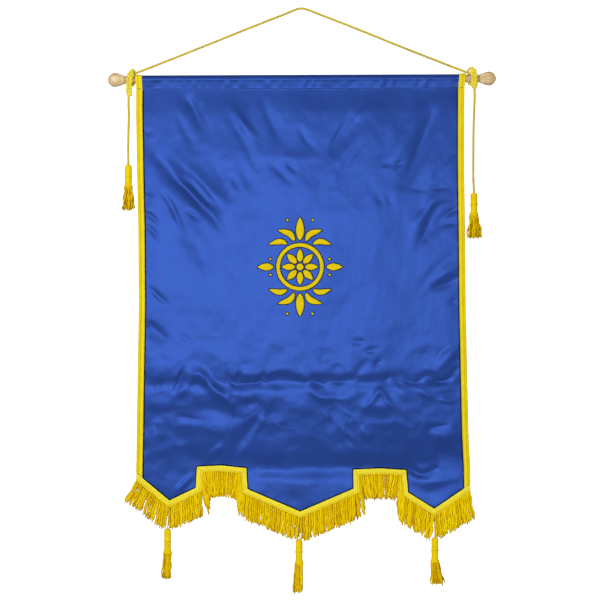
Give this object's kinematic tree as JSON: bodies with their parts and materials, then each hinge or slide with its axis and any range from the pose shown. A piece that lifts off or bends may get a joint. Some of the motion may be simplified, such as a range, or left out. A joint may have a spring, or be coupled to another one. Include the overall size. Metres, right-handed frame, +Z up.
{
  "type": "fringed ceremonial banner with wooden hanging rod",
  "caption": "Satin banner with a pointed, fringed lower edge and tassels, hanging from a wooden rod on a knotted cord.",
  "frame": {"origin": "under the cord at its highest point, where a hook holds it", "axes": "+X to the right seen from the front, along the rod; +Y towards the back; +Z up"},
  "size_m": [0.7376, 0.0447, 1.1119],
  "materials": {
    "wood": "smooth pale wood with a clear satin finish",
    "satin": "blue satin with soft storage creases",
    "ribbon": "yellow woven braid",
    "yarn": "yellow twisted rayon yarn",
    "cord": "yellow twisted cord"
  },
  "bodies": {
    "root": {"rod": "wood", "finial_left": "wood", "finial_right": "wood", "banner_cloth": "satin", "ribbon_left": "ribbon", "ribbon_right": "ribbon", "fringe_left": "yarn", "fringe_notch_left": "yarn", "fringe_centre": "yarn", "fringe_notch_right": "yarn", "fringe_right": "yarn", "tassel_left": "yarn", "tassel_centre": "yarn", "tassel_right": "yarn", "cord_tassel_left": "yarn", "cord_tassel_right": "yarn", "cord_span": "cord", "cord_tail_left": "cord", "cord_tail_right": "cord", "knot_left": "cord", "knot_right": "cord"}
  },
  "joints": []
}
